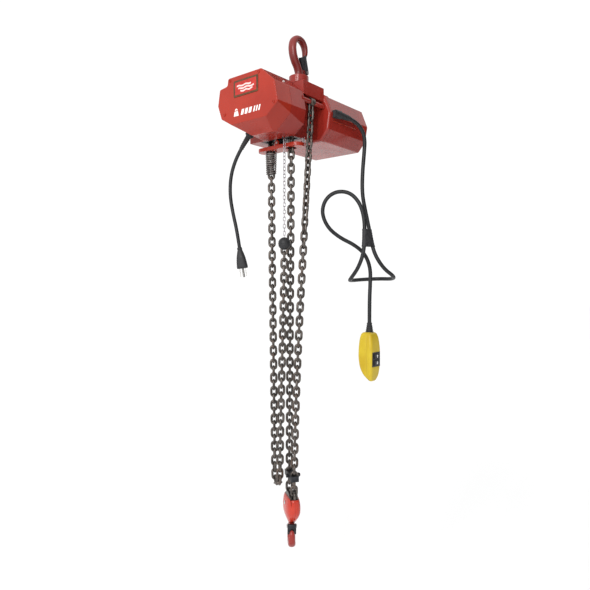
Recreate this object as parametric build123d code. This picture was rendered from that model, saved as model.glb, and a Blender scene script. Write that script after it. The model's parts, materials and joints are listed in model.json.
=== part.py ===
from build123d import *
import math
import os

os.makedirs("parts", exist_ok=True)

# Electric chain hoist, two falls of load chain. Millimetres, +Z up.
# Origin: the saddle inside the suspension hook. The hoist's long axis is Y, with the front cover at -Y
# and the motor at +Y. The chains hang in the plane Y = 0 below the load wheel.

# ---- driving dimensions -------------------------------------------------------------------------
CHAIN_WIRE = 5.0            # load chain wire
CHAIN_PITCH = 15.0          # load chain pitch
CHAIN_WIDTH = 16.8          # load chain outer width
CHAIN_ROD = 9.4             # round bar of the same weight as the chain
RUNNING_FIT = 0.05          # radial clearance of shafts and pins

FRONT_Y = -110.0            # front cover's face
SEAM_Y = -66.0              # front cover meets the frame
WAIST_Y0 = -20.0            # the front block ends, the waist begins
WAIST_Y1 = 50.0             # the waist ends at the rear flange
FLANGE_Y = 58.0             # rear flange meets the motor housing
HOUSING_Y = 66.0            # motor housing meets the end cover
REAR_Y = 206.0              # end cover's face
BODY_TOP = -86.0
BODY_BOTTOM = -204.0
WALL = 4.0

# outlines of the front and the motor section, as (X, Z)
FRONT_OUTLINE = [(-102, -86), (-8, -86), (28, -117), (36, -158), (30, -186), (6, -204),
                 (-86, -204), (-119, -176), (-133, -138), (-127, -104), (-104, -101)]
MOTOR_OUTLINE = [(-119, -104), (29, -104), (46, -146), (40, -181), (20, -204), (-110, -204),
                 (-132, -181), (-138, -146)]
FRONT_SLOPE = [(-110, -60), (-110, -184), (-74, -204), (60, -204), (60, -60)]   # as (Y, Z)
CORNER_CUTS = [((36, FRONT_Y, -160), (6, FRONT_Y, -184), (31, WAIST_Y0, -186)),
               ((-121, FRONT_Y, -168), (-93, FRONT_Y, -184), (-119, WAIST_Y0, -180))]

WHEEL_X, WHEEL_Z = -50.0, -150.0
WHEEL_POCKETS = 6
SHEAVE_POCKETS = 4
BLOCK_X, SHEAVE_Z = -20.0, -984.0
BLOCK_TURN = -35.0          # the unloaded block hangs turned about Z
HOOK_TURN = -48.0           # and so does its hook

GEAR_MODULE = 1.0
PINION_TEETH = 12
GEAR_TEETH = 60
PRESSURE_ANGLE = 25.0
BACKLASH = 0.16
IDLER_X = WHEEL_X + GEAR_MODULE * (PINION_TEETH + GEAR_TEETH) / 2

ANCHOR = (27.0, 8.0, -132.0)
RETURN_X, RETURN_Y = -20.0, -24.0     # the slack end hangs here
BALL_Z, BALL_R = -430.0, 13.3
LOOP_TOP_Z = -930.0

POWER_CORD_D = 8.0
CONTROL_CORD_D = 9.0


# ---- helpers ------------------------------------------------------------------------------------
def block(x0, x1, y0, y1, z0, z1):
    return Pos((x0 + x1) / 2, (y0 + y1) / 2, (z0 + z1) / 2) * Box(x1 - x0, y1 - y0, z1 - z0)


def rod(start, end, radius):
    """A round bar from start to end."""
    axis = Vector(end) - Vector(start)
    return extrude(Plane(origin=start, z_dir=axis) * Circle(radius), amount=axis.length)


def rod_y(x, z, radius, y0, y1):
    return rod((x, y0, z), (x, y1, z), radius)


def ring_y(x, z, outer, inner, y0, y1):
    return rod_y(x, z, outer, y0, y1) - rod_y(x, z, inner, y0 - 1, y1 + 1)


def outline_y(points, y0, y1, rounding, inset=0.0):
    """An (X, Z) outline with rounded corners, extruded along Y and inset by a wall."""
    face = make_face(FilletPolyline(*[(x, y0, z) for x, z in points], radius=rounding, close=True))
    if inset:
        face = offset(face, amount=-inset)
    return extrude(face, amount=y1 - y0, dir=(0, 1, 0))


def outline_x(points, x0, x1):
    """A (Y, Z) outline extruded along X."""
    face = make_face(Polyline(*[(x0, y, z) for y, z in points], close=True))
    return extrude(face, amount=x1 - x0, dir=(1, 0, 0))


def corner_radii(points):
    """The largest even radii for a route: 0.45 of the shorter run at each corner."""
    radii = []
    for before, corner, after in zip(points, points[1:], points[2:]):
        run_in, run_out = Vector(corner) - Vector(before), Vector(after) - Vector(corner)
        half_turn = math.radians(run_in.get_angle(run_out)) / 2
        radii.append(0.45 * min(run_in.length, run_out.length) / math.tan(half_turn))
    return radii


def tube(points, diameter, name=None):
    """A round tube along straight runs joined by tangent arcs."""
    radii = corner_radii(points)
    path = FilletPolyline(*points, radius=radii)
    body = sweep(Plane(origin=path @ 0, z_dir=path % 0) * Circle(diameter / 2), path=path)
    if name:
        share = body.volume / (math.pi * diameter ** 2 / 4 * path.length)
        print(f"{name}: length {path.length:.0f}, smallest radius {min(radii):.0f}, volume {share:.4f}")
    return body


def half_ring(start, middle, end, radius):
    """A round bar bent through half a turn."""
    path = ThreePointArc(start, middle, end)
    return sweep(Plane(origin=path @ 0, z_dir=path % 0) * Circle(radius), path=path)


def pocket_pitch_radius(pockets):
    """Pitch radius of a chain wheel that carries twice as many links as it has pockets."""
    half = math.radians(90 / pockets)
    return math.hypot(CHAIN_PITCH / math.sin(half), CHAIN_WIRE / math.cos(half)) / 2


def chain_wheel(pockets, bore, rim_width, rim_height):
    """A pocket wheel about the Y axis at the origin."""
    pitch_r = pocket_pitch_radius(pockets)
    rim_r = pitch_r + rim_height
    wheel = rod_y(0, 0, rim_r, -rim_width / 2, rim_width / 2)
    wheel -= ring_y(0, 0, rim_r + 1, pitch_r - CHAIN_ROD / 2 - 0.3, -5.3, 5.3)
    for k in range(pockets):
        pocket = Pos(pitch_r + 4.4, 0, 0) * Box(13, CHAIN_WIDTH + 1, CHAIN_PITCH + 2 * CHAIN_WIRE)
        wheel -= Rot(0, 360 / pockets * k, 0) * pocket
    return wheel - rod_y(0, 0, bore, -rim_width, rim_width)


def gear(teeth, width, bore, turn=0.0):
    """An involute spur gear about the Y axis at the origin, its first tooth on +X turned about +Y."""
    pitch_r = GEAR_MODULE * teeth / 2
    base_r = pitch_r * math.cos(math.radians(PRESSURE_ANGLE))
    tip_r, root_r = pitch_r + 0.9 * GEAR_MODULE, pitch_r - 1.2 * GEAR_MODULE
    half_tooth = (math.pi * GEAR_MODULE / 2 - BACKLASH) / 2 / pitch_r

    def involute(r):
        a = math.acos(min(1.0, base_r / r))
        return math.tan(a) - a

    start_r = max(base_r, root_r)
    radii = [start_r + (tip_r - start_r) * k / 4 for k in range(5)]
    flank = [(r, half_tooth + involute(pitch_r) - involute(r)) for r in radii]
    if root_r < base_r:
        flank = [(root_r, flank[0][1])] + flank
    points = []
    for k in range(teeth):
        centre = math.radians(turn) + 2 * math.pi * k / teeth
        side = [(r, centre - a) for r, a in flank] + [(r, centre + a) for r, a in reversed(flank)]
        points += [(r * math.cos(a), -r * math.sin(a)) for r, a in side]
    face = make_face(Polyline(*[(x, -width / 2, z) for x, z in points], close=True))
    return extrude(face, amount=width, dir=(0, 1, 0)) - rod_y(0, 0, bore, -width, width)


def slab_y(shape, y0, y1):
    return shape & block(-200, 120, y0, y1, -260, -40)


# ---- housing ------------------------------------------------------------------------------------
def front_body(inset=0.0):
    """The front section as a solid, inset by a wall."""
    body = outline_y(FRONT_OUTLINE, FRONT_Y + inset, 60, 5.0, inset)
    body &= Pos(0, inset, inset) * outline_x(FRONT_SLOPE, -200, 120)
    # the lower corners are cut by planes that run out towards the waist
    for near, low, far in CORNER_CUTS:
        along, down = Vector(far) - Vector(near), Vector(low) - Vector(near)
        normal = along.cross(down).normalized()
        if normal.Z > 0:
            normal = normal * -1
        origin = Vector(near) - normal * inset
        body = split(body, bisect_by=Plane(origin=origin, x_dir=along, z_dir=normal), keep=Keep.BOTTOM)
    return body


def motor_body(y0, y1, inset=0.0):
    return outline_y(MOTOR_OUTLINE, y0, y1, 7.0, inset)


front_solid, front_hollow = front_body(), front_body(WALL)
front_edges = front_solid.faces().sort_by(Axis.Y)[0].edges()
front_solid = fillet(front_edges, 2)
front_cover = slab_y(front_solid, FRONT_Y, SEAM_Y) - slab_y(front_hollow, FRONT_Y + WALL, SEAM_Y + 1)
for boss_x in (WHEEL_X, IDLER_X):
    front_cover += rod_y(boss_x, WHEEL_Z, 11, FRONT_Y + 2, FRONT_Y + 10)
    front_cover -= rod_y(boss_x, WHEEL_Z, 8, FRONT_Y + WALL, FRONT_Y + 11)

# centre frame: front block, waist with the wheel chamber and the side recess, top beam, rear flange
WAIST_SIDE_X = -4.0
centre_frame = slab_y(front_solid, SEAM_Y, WAIST_Y0) - slab_y(front_hollow, SEAM_Y - 1, WAIST_Y0 - 6)
centre_frame += block(-124, WAIST_SIDE_X, WAIST_Y0 - 1, WAIST_Y1 + 1, BODY_BOTTOM + 2, BODY_TOP - 6)
centre_frame += block(-124, 29, WAIST_Y0 - 1, WAIST_Y1 + 1, -121, BODY_TOP - 6)
flange = outline_y(MOTOR_OUTLINE, WAIST_Y1, FLANGE_Y, 7.0)
centre_frame += fillet(flange.faces().sort_by(Axis.Y)[0].edges(), 5)
centre_frame += rod((0, 0, BODY_TOP - 10), (0, 0, -75), 21)
centre_frame -= block(-92, WAIST_SIDE_X - 4, -17, 17, BODY_BOTTOM - 1, -108)
centre_frame -= block(-118, WAIST_SIDE_X - 4, 27, WAIST_Y1 - 1, BODY_BOTTOM + 6, -104)
centre_frame -= block(-118, -96, -17, 23, BODY_BOTTOM + 6, -104)
centre_frame -= rod((0, 0, -130), (0, 0, -60), 9.5)
centre_frame -= rod((0, 0, -122), (0, 0, -97), 17)
centre_frame -= rod_y(WHEEL_X, WHEEL_Z, 16, WAIST_Y0 - 7, 28)
centre_frame -= rod_y(WHEEL_X, WHEEL_Z, 14, WAIST_Y1 - 2, FLANGE_Y + 1)
centre_frame -= rod_y(ANCHOR[0], ANCHOR[2], 5, WAIST_Y0 - 7, FLANGE_Y + 1)

gear_plate = slab_y(front_body(WALL + 0.3), SEAM_Y + 1, SEAM_Y + 8)
gear_plate -= rod_y(WHEEL_X, WHEEL_Z, 18, SEAM_Y - 1, SEAM_Y + 9)
gear_plate -= rod_y(IDLER_X, WHEEL_Z, 9, SEAM_Y - 1, SEAM_Y + 9)

motor_housing = motor_body(FLANGE_Y, HOUSING_Y) - motor_body(FLANGE_Y - 1, HOUSING_Y + 1, WALL)
end_cover = motor_body(HOUSING_Y, REAR_Y, 1.5)
end_cover = chamfer(end_cover.faces().sort_by(Axis.Y)[-1].edges(), 5)
end_cover -= motor_body(HOUSING_Y - 1, REAR_Y - WALL, WALL + 1.5)
end_cover += rod_y(WHEEL_X, WHEEL_Z, 14, REAR_Y - 10, REAR_Y - 1)
end_cover -= rod_y(WHEEL_X, WHEEL_Z, 10, REAR_Y - 11, REAR_Y - WALL)


# ---- hooks --------------------------------------------------------------------------------------
def hook_body(wire, inner, neck, centre_z, shank_z, sign):
    """A hook in its own YZ plane: shank on the Z axis, bowl round (0, centre_z), tip at +Y.

    The neck is how far below the bowl's centre the wire starts to bend, in inner radii.
    sign is +1 when the bowl is above the shank and -1 when it is below.
    """
    mean, bend = inner + wire, wire * 1.05
    entry_z = centre_z - sign * inner * neck
    path = FilletPolyline((0, 0, shank_z), (0, 0, entry_z - sign * mean * 0.6), (0, -mean, entry_z),
                          (0, -mean, centre_z), radius=[bend, bend])
    lower = sweep(Plane(origin=path @ 0, z_dir=path % 0) * Circle(wire), path=path)
    bowl = half_ring((0, -mean, centre_z), (0, 0, centre_z + sign * mean), (0, mean, centre_z), wire)
    tip_end = (0, mean, centre_z - sign * inner * 0.75)
    return lower + bowl + rod((0, mean, centre_z), tip_end, wire) + Pos(*tip_end) * Sphere(wire)


def latch_parts(wire, pivot, tip, tongue_share, tongue_thick):
    """A latch, its rivet and the lug on the shank that carries them, in the hook's YZ plane.

    The tongue joins the two cheeks over the last tongue_share of the reach, on the bowl's side.
    """
    pivot_y, pivot_z = pivot
    tip_y, tip_z = tip
    reach = Vector(0, tip_y - pivot_y, tip_z - pivot_z)
    turn = math.degrees(math.atan2(reach.Z, reach.Y))
    cheek_x = wire + 0.7
    cheek = rod((cheek_x, pivot_y, pivot_z), (cheek_x + 1.8, pivot_y, pivot_z), 4.2)
    along = Pos(0, pivot_y, pivot_z) * Rot(turn, 0, 0)
    end = reach.length - 1
    arm = along * block(cheek_x, cheek_x + 1.8, 0, end, -3.4, 3.4)
    low, high = sorted((-0.6, math.copysign(tongue_thick - 0.6, reach.Z)))
    start = reach.length * (1 - tongue_share)
    tongue = along * block(-cheek_x - 1.8, cheek_x + 1.8, start, end, low, high)
    half = cheek + arm
    latch = half + mirror(half, about=Plane.YZ) + tongue
    rivet = rod((-cheek_x - 3, pivot_y, pivot_z), (cheek_x + 3, pivot_y, pivot_z), 2)
    rivet += rod((cheek_x + 2, pivot_y, pivot_z), (cheek_x + 3.4, pivot_y, pivot_z), 3.4)
    rivet += rod((-cheek_x - 3.4, pivot_y, pivot_z), (-cheek_x - 2, pivot_y, pivot_z), 3.4)
    latch -= rod((-30, pivot_y, pivot_z), (30, pivot_y, pivot_z), 2 + RUNNING_FIT)
    lug = rod((-wire + 1.5, pivot_y, pivot_z), (wire - 1.5, pivot_y, pivot_z), 4.2)
    lug += block(-wire + 1.5, wire - 1.5, 0, pivot_y, pivot_z - 4, pivot_z + 4)
    return latch, rivet, lug


TOP_WIRE, TOP_INNER = 7.0, 14.0
TOP_PIVOT, TOP_TIP = (17.0, -63.0), (11.5, -27.0)
suspension_hook = hook_body(TOP_WIRE, TOP_INNER, 1.7, -TOP_INNER, -118, 1)
suspension_latch, suspension_rivet, top_lug = latch_parts(TOP_WIRE, TOP_PIVOT, TOP_TIP, 0.28, 3.4)
suspension_hook = suspension_hook + top_lug - rod((-30, *TOP_PIVOT), (30, *TOP_PIVOT), 2)
hook_nut = extrude(Pos(0, 0, -117) * RegularPolygon(13, 6), amount=14)
hook_nut -= rod((0, 0, -119), (0, 0, -90), TOP_WIRE)

LOW_WIRE, LOW_INNER, LOW_CENTRE_Z = 7.0, 12.5, -1053.0
LOW_PIVOT, LOW_TIP = (12.5, -1031.0), (9.4, -1049.0)
low_place = Pos(BLOCK_X, 0, 0) * Rot(0, 0, HOOK_TURN - 90)
low_hook = hook_body(LOW_WIRE, LOW_INNER, 0.95, LOW_CENTRE_Z, -1017, -1)
low_latch, low_rivet, low_lug = latch_parts(LOW_WIRE, LOW_PIVOT, LOW_TIP, 0.38, 4.0)
low_hook = low_hook + low_lug + rod((0, 0, -1021), (0, 0, -1017), 9)
low_hook -= rod((-30, *LOW_PIVOT), (30, *LOW_PIVOT), 2)
lower_hook, lower_latch, lower_rivet = (low_place * piece for piece in (low_hook, low_latch, low_rivet))

# ---- load wheel, gears and motor ----------------------------------------------------------------
at_wheel = Pos(WHEEL_X, 0, WHEEL_Z)
at_idler = Pos(IDLER_X, 0, WHEEL_Z)
load_wheel = at_wheel * chain_wheel(WHEEL_POCKETS, 12, 30, 6)
wheel_shaft = ring_y(WHEEL_X, WHEEL_Z, 12, 7, -86, 27)
drive_gear = Pos(0, -77, 0) * at_wheel * gear(GEAR_TEETH, 14, 12)
intermediate_gear = Pos(0, -93, 0) * at_idler * gear(GEAR_TEETH, 10, 4)
# the pinions have a gap on the line between the centres, where the gears have a tooth
PINION_TURN = 180.0 / PINION_TEETH
pinion_shaft = Pos(0, -77, 0) * at_idler * gear(PINION_TEETH, 16, 3.5, PINION_TURN)
pinion_shaft += rod_y(IDLER_X, WHEEL_Z, 4, FRONT_Y + WALL + 0.5, -56)
motor_shaft = Pos(0, -93, 0) * at_wheel * gear(PINION_TEETH, 12, 3.5, PINION_TURN)
motor_shaft += rod_y(WHEEL_X, WHEEL_Z, 3.5, -105, -86) + rod_y(WHEEL_X, WHEEL_Z, 6, -86, 201)
rotor_core = ring_y(WHEEL_X, WHEEL_Z, 22, 6, 86, 140)
cooling_fan = ring_y(WHEEL_X, WHEEL_Z, 13, 6, 154, 164)
for k in range(8):
    cooling_fan += at_wheel * Rot(0, 45 * k, 0) * block(12, 36, 155, 163, -1, 1)
brake_disc = ring_y(WHEEL_X, WHEEL_Z, 33, 6, 170, 175)
brake_armature = ring_y(WHEEL_X, WHEEL_Z, 33, 8, 176, 180)
brake_coil = ring_y(WHEEL_X, WHEEL_Z, 33, 8, 181.2, 192)
brake_coil += ring_y(WHEEL_X, WHEEL_Z, 33, 15, 191, REAR_Y - WALL)
stator_core = ring_y(WHEEL_X, WHEEL_Z, 39, 22.6, 86, 140)
stator_core += block(WHEEL_X - 20, WHEEL_X + 20, 92, 134, BODY_BOTTOM + WALL + 1.5, WHEEL_Z - 36)
stator_core += ring_y(WHEEL_X, WHEEL_Z, 37, 25, 80, 86) + ring_y(WHEEL_X, WHEEL_Z, 37, 25, 140, 148)

bearings = Compound(children=[
    rod((0, 0, -102.8), (0, 0, -97), 15.5) - rod((0, 0, -104), (0, 0, -90), 8),
    ring_y(WHEEL_X, WHEEL_Z, 18, 12 + RUNNING_FIT, SEAM_Y + 1, SEAM_Y + 8),
    ring_y(WHEEL_X, WHEEL_Z, 16, 12 + RUNNING_FIT, 19, 27),
    ring_y(WHEEL_X, WHEEL_Z, 8, 3.5 + RUNNING_FIT, FRONT_Y + WALL, FRONT_Y + 10),
    ring_y(IDLER_X, WHEEL_Z, 8, 4 + RUNNING_FIT, FRONT_Y + WALL, FRONT_Y + 10),
    ring_y(IDLER_X, WHEEL_Z, 9, 4 + RUNNING_FIT, SEAM_Y + 1, SEAM_Y + 8),
    ring_y(WHEEL_X, WHEEL_Z, 14, 6 + RUNNING_FIT, WAIST_Y1, FLANGE_Y),
    ring_y(WHEEL_X, WHEEL_Z, 10, 6 + RUNNING_FIT, REAR_Y - 10, REAR_Y - WALL)])

# ---- under the body -----------------------------------------------------------------------------
WHEEL_R = pocket_pitch_radius(WHEEL_POCKETS)
SHEAVE_R = pocket_pitch_radius(SHEAVE_POCKETS)
SLACK_X, LIVE_X = WHEEL_X - WHEEL_R, WHEEL_X + WHEEL_R
chain_guide = block(-92, -8, -17, 17, -202, -190)
for fall_x in (SLACK_X, LIVE_X):
    chain_guide -= block(fall_x - 9.2, fall_x + 9.2, -9.2, 9.2, -210, -180)
chain_guide += block(WHEEL_X - 6, WHEEL_X + 6, -9, 9, -213.5, -200)
ROCKER_PIVOT_Z = -209.5
chain_guide -= rod_y(WHEEL_X, ROCKER_PIVOT_Z, 2.5, -20, 20)
rocker_pin = rod_y(WHEEL_X, ROCKER_PIVOT_Z, 2.5, -15.5, 15.5)

ROCKER_END = 50.0
rocker_face = Pos(WHEEL_X, 0, -223) * SlotCenterToCenter(ROCKER_END * 2 - 12, 34)
limit_rocker = extrude(rocker_face, amount=8)
for fall_x in (SLACK_X, LIVE_X):
    limit_rocker -= rod((fall_x, 0, -227), (fall_x, 0, -213), 11.5)
for side in (-1, 1):
    ear = block(WHEEL_X - 6, WHEEL_X + 6, side * 13 - 1.7, side * 13 + 1.7, -217, ROCKER_PIVOT_Z)
    limit_rocker += ear + rod_y(WHEEL_X, ROCKER_PIVOT_Z, 6, side * 13 - 1.7, side * 13 + 1.7)
limit_rocker -= rod_y(WHEEL_X, ROCKER_PIVOT_Z, 2.5 + RUNNING_FIT, -20, 20)
limit_spring = rod((SLACK_X, 0, -275), (SLACK_X, 0, -223), 12.2)
limit_spring -= rod((SLACK_X, 0, -280), (SLACK_X, 0, -210), 9.6)
limit_switch = block(-88, -66, 27.5, 46, -150, -118)
anchor_pin = rod_y(ANCHOR[0], ANCHOR[2], 5, WAIST_Y0 - 5, FLANGE_Y)

# ---- lower block --------------------------------------------------------------------------------
at_block = Pos(BLOCK_X, 0, 0) * Rot(0, 0, BLOCK_TURN)
# outlines of the shells seen along the sheave's axis and along the falls' spread, right half, top to bottom
BLOCK_SIDE = [(31, -970), (33, -985), (27, -1006), (11, -1024)]
BLOCK_EDGE = [(11.5, -970), (15, -979), (16.2, -992), (15, -1006), (10, -1019), (8, -1026)]


def both_halves(outline):
    return outline + [(-a, z) for a, z in reversed(outline)]


shell = outline_y(both_halves(BLOCK_SIDE), -20, 20, 8.0) & outline_x(both_halves(BLOCK_EDGE), -40, 40)
shell -= rod_y(0, SHEAVE_Z, 29.3, -9.5, 9.5) + block(-29.3, 29.3, -9.5, 9.5, SHEAVE_Z, -960)
shell -= rod((0, 0, -1021.5), (0, 0, -1016.2), 9.6) + rod((0, 0, -1030), (0, 0, -1010), 7.0)
shell -= rod_y(0, SHEAVE_Z, 4, -20, 20)
shell_cut = block(-50, 50, 0, 30, -1040, -950)
block_shell_near = at_block * (shell - shell_cut)
block_shell_far = at_block * (shell & shell_cut)
block_sheave = at_block * Pos(0, 0, SHEAVE_Z) * chain_wheel(SHEAVE_POCKETS, 4 + RUNNING_FIT, 18.6, 4)
sheave_pin = at_block * rod_y(0, SHEAVE_Z, 4, -16, 16)
clamp = block(-29, 29, -8.5, 8.5, -933, -921)
for side in (-1, 1):
    clamp -= rod((side * SHEAVE_R, 0, -940), (side * SHEAVE_R, 0, -910), 6.0)
striker_clamp = at_block * (clamp - rod_y(0, -927, 2.5, -20, 20))
striker_bolt = rod_y(0, -927, 2.5, -12, 16) + rod_y(0, -927, 4.2, -12, -8.5)
striker_bolt = at_block * (striker_bolt + rod_y(0, -927, 4.6, 8.5, 15) + Pos(0, 15, -927) * Sphere(4.6))

# ---- load chain ---------------------------------------------------------------------------------
def block_point(s, n, z):
    """A point in the lower block's frame: s along the falls' spread, n along the sheave's axis."""
    return tuple(at_block.position + Vector(s, n, z).rotate(Axis.Z, BLOCK_TURN))


live_end, dead_end = block_point(-SHEAVE_R, 0, SHEAVE_Z), block_point(SHEAVE_R, 0, SHEAVE_Z)
anchor_x, anchor_y, anchor_z = ANCHOR
live_start, slack_start = (LIVE_X, 0, WHEEL_Z), (SLACK_X, 0, WHEEL_Z)
live_fall = tube([live_start, (LIVE_X, 0, -250), (*live_end[:2], -880), live_end], CHAIN_ROD)
dead_start = (anchor_x, anchor_y, anchor_z - 5)
dead_fall = tube([dead_start, (anchor_x, anchor_y, -150), (*dead_end[:2], -790), dead_end], CHAIN_ROD)
wheel_chain = half_ring(slack_start, (WHEEL_X, 0, WHEEL_Z + WHEEL_R), live_start, CHAIN_ROD / 2)
sheave_chain = half_ring(live_end, block_point(0, 0, SHEAVE_Z - SHEAVE_R), dead_end, CHAIN_ROD / 2)
loop_start, loop_end = (-66, -3, LOOP_TOP_Z), (-36, -20, LOOP_TOP_Z)
slack_fall = tube([slack_start, (SLACK_X, 0, -300), (*loop_start[:2], -870), loop_start], CHAIN_ROD)
return_start = (RETURN_X, RETURN_Y, BALL_Z - BALL_R + 2)
slack_return = tube([return_start, (RETURN_X, RETURN_Y, -480), (*loop_end[:2], -870), loop_end], CHAIN_ROD)
loop_mid = ((loop_start[0] + loop_end[0]) / 2, (loop_start[1] + loop_end[1]) / 2)
loop_r = math.dist(loop_start, loop_end) / 2
slack_bight = half_ring(loop_start, (*loop_mid, LOOP_TOP_Z - loop_r), loop_end, CHAIN_ROD / 2)
ball_stop = Pos(RETURN_X, RETURN_Y, BALL_Z) * Sphere(BALL_R)
ball_stop -= rod(return_start, (RETURN_X, RETURN_Y, BALL_Z - 20), CHAIN_ROD / 2)
keeper_top = (RETURN_X, RETURN_Y, BODY_BOTTOM - 4)
keeper_eye = rod((RETURN_X, RETURN_Y, BODY_BOTTOM), keeper_top, 3)
keeper_chain = rod(keeper_top, (RETURN_X, RETURN_Y, BALL_Z + BALL_R - 0.5), 1.6)
ball_stop -= keeper_chain

# ---- power cord and plug ------------------------------------------------------------------------
POWER_ROUTE = [(-108, -48, -200), (-121, -51, -217), (-137, -55, -244), (-149, -57, -278),
               (-152, -56, -318), (-148, -51, -357), (-140, -46, -397), (-136, -42, -435)]
power_cord = tube(POWER_ROUTE, POWER_CORD_D, "power_cord")
gland_axis = (Vector(*POWER_ROUTE[1]) - Vector(*POWER_ROUTE[0])).normalized()
gland_tip = Vector(*POWER_ROUTE[0])
gland_root = gland_tip - gland_axis * 14
power_gland = rod(gland_root, gland_tip, 6.5) + rod(gland_root, gland_root + gland_axis * 7, 9.5)
power_gland -= front_solid
plug_axis = (Vector(*POWER_ROUTE[-1]) - Vector(*POWER_ROUTE[-2])).normalized()
plug_plane = Plane(origin=POWER_ROUTE[-1], x_dir=(0.77, 0.64, 0), z_dir=plug_axis)
PLUG_LENGTH = 46.0
plug_face = plug_plane.offset(PLUG_LENGTH)
power_plug = loft([plug_plane * Circle(5.5),
                   plug_plane.offset(10) * Circle(6.2),
                   plug_plane.offset(20) * Circle(9.0),
                   plug_plane.offset(32) * RectangleRounded(22.6, 18, 7),
                   plug_plane.offset(43) * RectangleRounded(24.4, 19.4, 7),
                   plug_face * RectangleRounded(23.4, 18.4, 6.5)], ruled=True)
plug_blades = Compound(children=[
    extrude(plug_face * Pos(-6.35, 0) * Rectangle(1.5, 6.3), amount=18),
    extrude(plug_face * Pos(6.35, 0) * Rectangle(1.5, 6.3), amount=18),
    extrude(plug_face * Pos(0, -6) * Circle(2.4), amount=20)])

# ---- pendant control ----------------------------------------------------------------------------
CONTROL_ROUTE = [(52, 78, -148), (56, 100, -149), (59, 124, -152), (62, 147, -162), (62, 163, -183),
                 (58, 166, -214), (55, 163, -262), (55, 162, -310), (59, 170, -349), (65, 175, -386),
                 (70, 177, -418), (79, 179, -450), (95, 192, -481), (105, 221, -498), (85, 249, -503),
                 (46, 248, -502), (16, 219, -504), (6, 183, -507), (27, 155, -504), (50, 152, -480),
                 (62, 157, -446), (64, 159, -405), (63, 158, -362), (53, 153, -328), (34, 141, -305),
                 (8, 123, -303), (-12, 110, -321), (-20, 107, -352), (-10, 118, -386), (11, 138, -409),
                 (34, 160, -424), (52, 179, -445), (61, 188, -478), (61, 187, -515), (62, 182, -552),
                 (62, 182, -604)]
control_cord = tube(CONTROL_ROUTE, CONTROL_CORD_D, "control_cord")
grip_start = Vector(*CONTROL_ROUTE[0])
grip_axis = (Vector(*CONTROL_ROUTE[1]) - grip_start).normalized()
control_grip = rod(grip_start - grip_axis * 16, grip_start, 8) + block(38, 52, 60, 74, -156, -140)
control_grip -= outline_y(MOTOR_OUTLINE, HOUSING_Y - 40, REAR_Y, 7.0)

PENDANT = Vector(*CONTROL_ROUTE[-1])
PENDANT_TOP = PENDANT.Z - 22
relief_end = Vector(PENDANT.X, PENDANT.Y, PENDANT_TOP)
pendant_relief = loft([Plane(origin=PENDANT) * Circle(6.0), Plane(origin=relief_end) * Circle(9.5)])
PENDANT_FRONT = PENDANT.X + 18.0
# sections of the barrel-shaped case: (drop below the top, back, front, half width, corner radius)
PENDANT_SECTIONS = [(0, -10, 8, 11, 5), (5, -14, 12, 14.5, 6), (16, -16.5, 15, 17.5, 7),
                    (38, -18, 17.5, 19.5, 7), (60, -18, 18, 20, 7), (82, -14.5, 17.5, 19, 7),
                    (98, -7, 16, 16, 6), (108, 1, 13, 11, 5), (112, 4, 10, 7, 2.5)]


def pendant_body(wall):
    """The pendant's case as a solid, inset by a wall."""
    faces = []
    for drop, back, front, half, corner in PENDANT_SECTIONS:
        if wall and not 4 < drop < 105:
            continue
        plane = Plane(origin=(PENDANT.X + (back + front) / 2, PENDANT.Y, PENDANT_TOP - drop))
        size = (front - back - 2 * wall, 2 * (half - wall))
        faces.append(plane * RectangleRounded(*size, corner - wall / 2))
    return loft(faces, ruled=True)


pendant_case = pendant_body(0) - pendant_body(2.5)
plate_z = PENDANT_TOP - 61.5
PLATE_H, PLATE_HALF = 33.0, 16.0
seat = (PENDANT.Y - PLATE_HALF, PENDANT.Y + PLATE_HALF, plate_z - PLATE_H / 2, plate_z + PLATE_H / 2)
pendant_case -= block(PENDANT_FRONT - 1.4, PENDANT_FRONT + 2, *seat)
well = (PENDANT.Y - 14, PENDANT.Y + 14, plate_z - 15, plate_z + 15)
pendant_case -= block(PENDANT_FRONT - 4, PENDANT_FRONT, *well)
parting = block(PENDANT.X - 30, PENDANT.X + 4, PENDANT.Y - 40, PENDANT.Y + 40, -800, -600)
pendant_back, pendant_front = pendant_case & parting, pendant_case - parting
switch_plate = block(PENDANT_FRONT - 1.4, PENDANT_FRONT + 0.6, *seat)
BUTTON_GAP = 0.3
buttons = {}
for name, z in (("up_button", plate_z + 7.4), ("down_button", plate_z - 7.4)):
    hole = (PENDANT.Y - 11, PENDANT.Y + 11, z - 5.8, z + 5.8)
    switch_plate -= block(PENDANT_FRONT - 5, PENDANT_FRONT + 5, *hole)
    y0, y1, z0, z1 = hole
    button = block(PENDANT_FRONT - 7, PENDANT_FRONT + 3.4, y0 + BUTTON_GAP, y1 - BUTTON_GAP,
                   z0 + BUTTON_GAP, z1 - BUTTON_GAP)
    buttons[name] = chamfer(button.faces().sort_by(Axis.X)[-1].edges(), 1)

# ---- small parts --------------------------------------------------------------------------------
nameplate = Pos(-49.5, FRONT_Y - 0.6, -113.4) * Box(69, 1.2, 34)
contactor = block(8, 30, 95, 150, -175, -128)
screws = []
for x, z in ((-96, -92), (-14, -92), (26, -160), (-112, -160)):
    screws.append(rod_y(x, z, 3.4, FRONT_Y - 1.6, FRONT_Y))
cover_screws = Compound(children=screws)

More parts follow.
